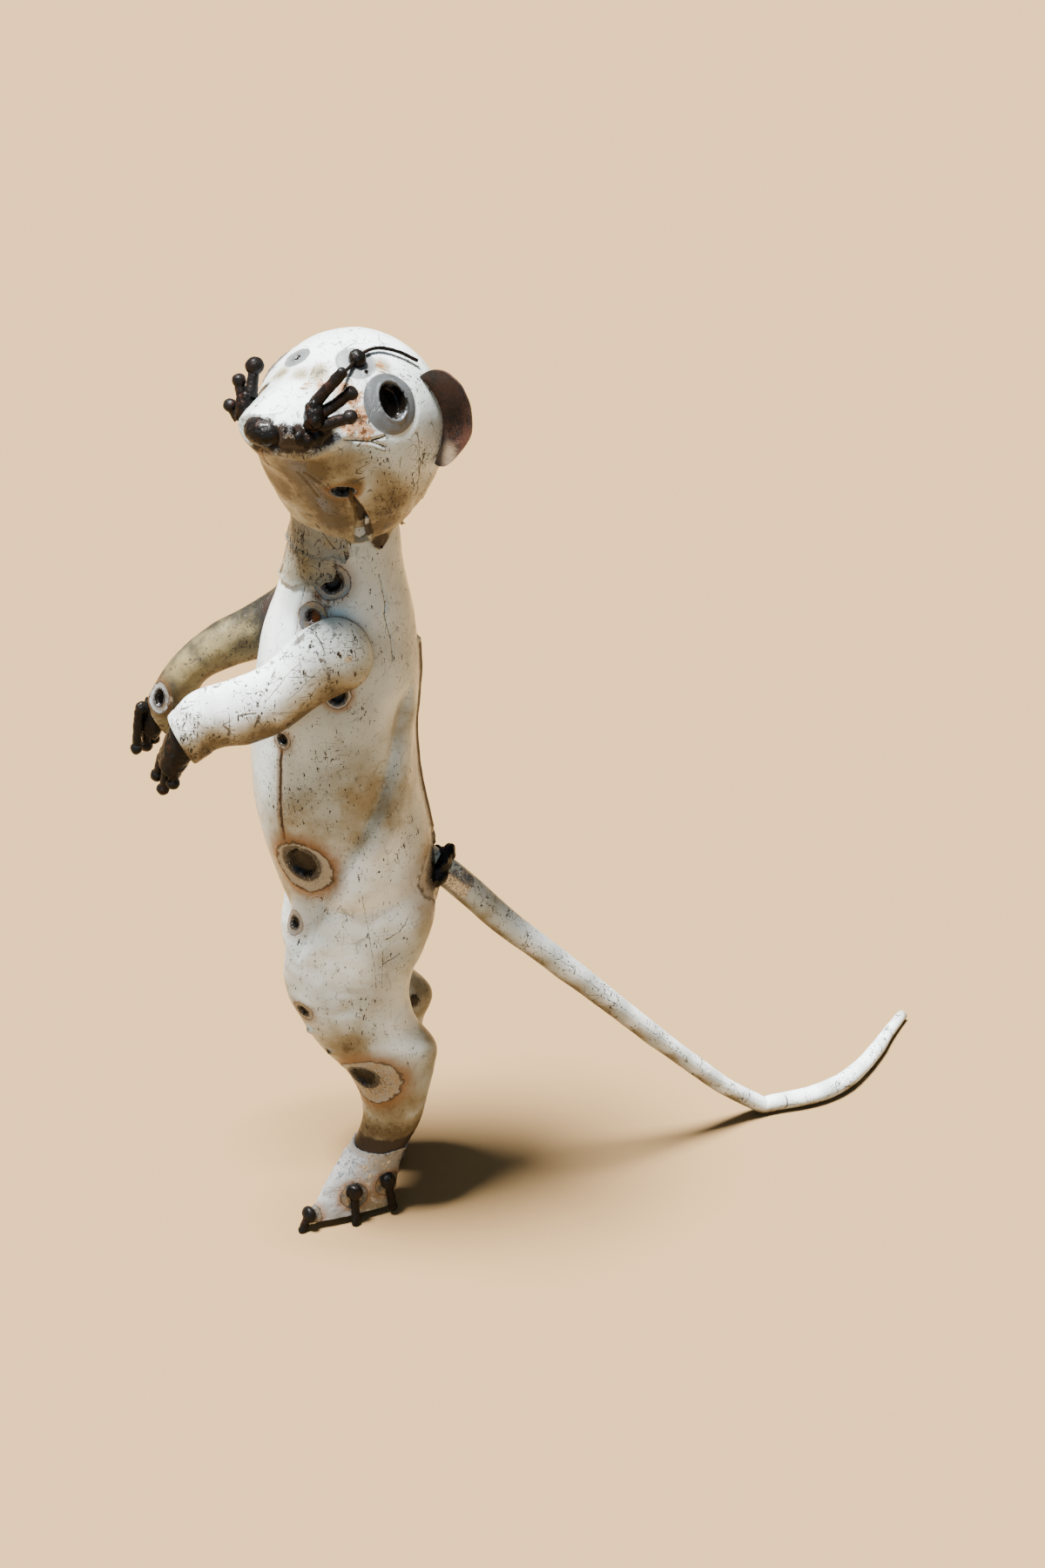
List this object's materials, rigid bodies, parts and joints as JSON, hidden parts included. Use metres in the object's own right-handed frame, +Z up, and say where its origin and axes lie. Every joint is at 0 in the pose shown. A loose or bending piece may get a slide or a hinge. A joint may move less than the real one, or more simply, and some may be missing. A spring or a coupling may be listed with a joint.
{
  "type": "scrap metal meerkat sculpture",
  "caption": "Standing meerkat figure beaten and welded from old white drum sheet, looking over its left shoulder, with weld-ball whiskers, rod claws and a long propping tail.",
  "frame": {"origin": "on the ground, under the middle of the whole figure's box", "axes": "+Z up, the trunk faces -Y and the tail runs back to +Y; the figure's left side is towards +X, where the head looks"},
  "size_m": [0.1846, 0.4438, 0.4995],
  "materials": {
    "white_paint": "old off-white enamel, half gloss, chipped and scratched, with scorched rings round its burn marks",
    "stained_paint": "the same enamel stained beige and brown",
    "bare_steel": "heated sheet, dull silver and pewter",
    "black_weld": "glossy black-brown slag and rod",
    "rusted_inside": "matt dark red-brown rust inside the ears, white enamel behind"
  },
  "bodies": {
    "root": {"body": "white_paint", "neck_plate": "stained_paint", "head": "white_paint", "nose": "black_weld", "whisker_weld_left": "black_weld", "whisker_weld_right": "black_weld", "whisker_left_1": "black_weld", "whisker_left_2": "black_weld", "whisker_left_3": "black_weld", "whisker_right_1": "black_weld", "whisker_right_2": "black_weld", "whisker_right_3": "black_weld", "brow_bead": "bare_steel", "brow_wire_front": "black_weld", "brow_wire_back": "black_weld", "left_ear": "rusted_inside", "right_ear": "rusted_inside", "left_arm": "white_paint", "right_arm": "stained_paint", "left_hand": "black_weld", "right_hand": "black_weld", "left_finger_1": "black_weld", "left_finger_2": "black_weld", "left_finger_3": "black_weld", "right_finger_1": "black_weld", "right_finger_2": "black_weld", "right_finger_3": "black_weld", "left_foot": "bare_steel", "right_foot": "bare_steel", "left_claw_1": "black_weld", "left_claw_2": "black_weld", "left_claw_3": "black_weld", "left_claw_4": "black_weld", "right_claw_1": "black_weld", "right_claw_2": "black_weld", "right_claw_3": "black_weld", "right_claw_4": "black_weld", "tail": "white_paint", "tail_weld": "black_weld"}
  },
  "joints": []
}
